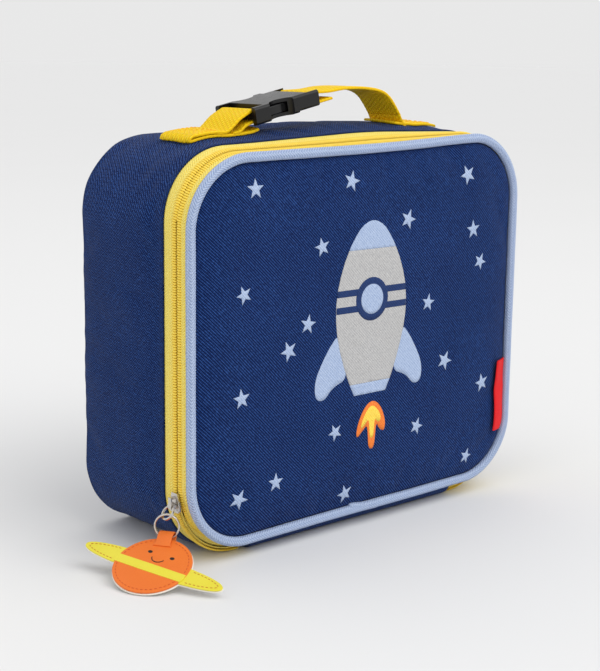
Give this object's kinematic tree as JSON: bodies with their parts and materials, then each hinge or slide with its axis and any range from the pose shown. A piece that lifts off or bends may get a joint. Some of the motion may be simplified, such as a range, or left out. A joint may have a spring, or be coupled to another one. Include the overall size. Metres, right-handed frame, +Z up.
{
  "type": "insulated lunch bag",
  "caption": "Soft insulated lunch bag for a child: zip-round front lid hinged at its base, buckled webbing carry handle and a planet tag on the zipper slider.",
  "frame": {"origin": "centre of the flat base of the bag's body, on the surface that it stands on", "axes": "+X to the bag's right as seen from the front, +Y to the back, +Z up; the lid and its print face -Y"},
  "size_m": [0.2697, 0.1264, 0.2277],
  "materials": {
    "navy_fabric": "woven polyester twill, matt",
    "foam": "closed-cell foam sheet",
    "lining": "wipe-clean PEVA film",
    "binding": "woven seam binding",
    "mesh": "knitted mesh",
    "zipper_tape": "woven zipper tape",
    "zipper_coil": "polyester coil",
    "nickel": "nickel-plated",
    "webbing": "woven webbing",
    "piping": "ribbed tape over a cord",
    "label": "woven label, plain",
    "tag_white": "imitation leather, reverse side",
    "tag_orange": "imitation leather",
    "tag_yellow": "imitation leather",
    "black_plastic": "moulded acetal, glossy"
  },
  "bodies": {
    "root": {"gusset_outer": "navy_fabric", "back_outer": "navy_fabric", "gusset_foam": "foam", "back_foam": "foam", "gusset_lining": "lining", "back_lining": "lining", "binding_back": "binding", "binding_gusset": "binding", "hinge_fabric": "navy_fabric", "mesh_pocket": "mesh", "pocket_elastic": "navy_fabric", "zipper_tape_body": "zipper_tape", "zipper_coil_body": "zipper_coil", "zipper_stops": "nickel", "webbing_base_left": "webbing", "webbing_base_right": "webbing"},
    "lid": {"front_outer": "navy_fabric", "front_foam": "foam", "front_lining": "lining", "binding_lid": "binding", "piping": "piping", "zipper_tape_lid": "zipper_tape", "zipper_coil_lid": "zipper_coil", "side_label": "label"},
    "slider": {"slider_body": "nickel", "slider_bridge": "nickel"},
    "pull": {"slider_pull": "nickel"},
    "ring": {"split_ring": "nickel"},
    "tag": {"tag_back": "tag_white", "tag_planet": "tag_orange", "tag_ring": "tag_yellow", "tag_loop": "tag_orange"},
    "handle": {"webbing_left": "webbing", "webbing_right": "webbing", "buckle_female": "black_plastic"},
    "buckle_plug": {"buckle_male": "black_plastic", "webbing_top": "webbing"},
    "latch_front": {"latch_arm_front": "black_plastic"},
    "latch_back": {"latch_arm_back": "black_plastic"}
  },
  "joints": [
    {"name": "lid_hinge", "type": "hinge", "parent": "root", "child": "lid", "pos_m": [0, -0.041, 0.0056], "axis": [1, 0, 0], "range_deg": [0, 86]},
    {"name": "slider_travel", "type": "slide", "parent": "root", "child": "slider", "axis": [0, 0, 1], "range_m": [0, 0.12]},
    {"name": "pull_swing", "type": "hinge", "parent": "slider", "child": "pull", "pos_m": [-0.11685, -0.0345, 0.0315], "axis": [0, 1, 0], "range_deg": [0, 60]},
    {"name": "ring_swing", "type": "hinge", "parent": "pull", "child": "ring", "pos_m": [-0.11999, -0.0345, 0.02748], "axis": [0.7071, -0.7071, 0], "range_deg": [-25, 0]},
    {"name": "tag_swing", "type": "hinge", "parent": "ring", "child": "tag", "pos_m": [-0.11999, -0.0345, 0.01568], "axis": [0.5446, -0.8387, 0], "range_deg": [-30, 0]},
    {"name": "handle_tip", "type": "hinge", "parent": "root", "child": "handle", "pos_m": [0, 0, 0.2056], "axis": [1, 0, 0], "range_deg": [-12, 12]},
    {"name": "buckle_slide", "type": "slide", "parent": "handle", "child": "buckle_plug", "axis": [0.9781, 0, 0.2079], "range_m": [0, 0.02]},
    {"name": "latch_front_squeeze", "type": "hinge", "parent": "buckle_plug", "child": "latch_front", "pos_m": [-0.02322, -0.0115, 0.21951], "axis": [-0.2079, 0, 0.9781], "range_deg": [0, 7], "stiffness_Nm_per_rad": 0.5},
    {"name": "latch_back_squeeze", "type": "hinge", "parent": "buckle_plug", "child": "latch_back", "pos_m": [-0.02322, 0.0115, 0.21951], "axis": [-0.2079, 0, 0.9781], "range_deg": [-7, 0], "stiffness_Nm_per_rad": 0.5}
  ],
  "couplings": [
    {"joint": "latch_back_squeeze", "follows": "latch_front_squeeze", "ratio": -1}
  ]
}
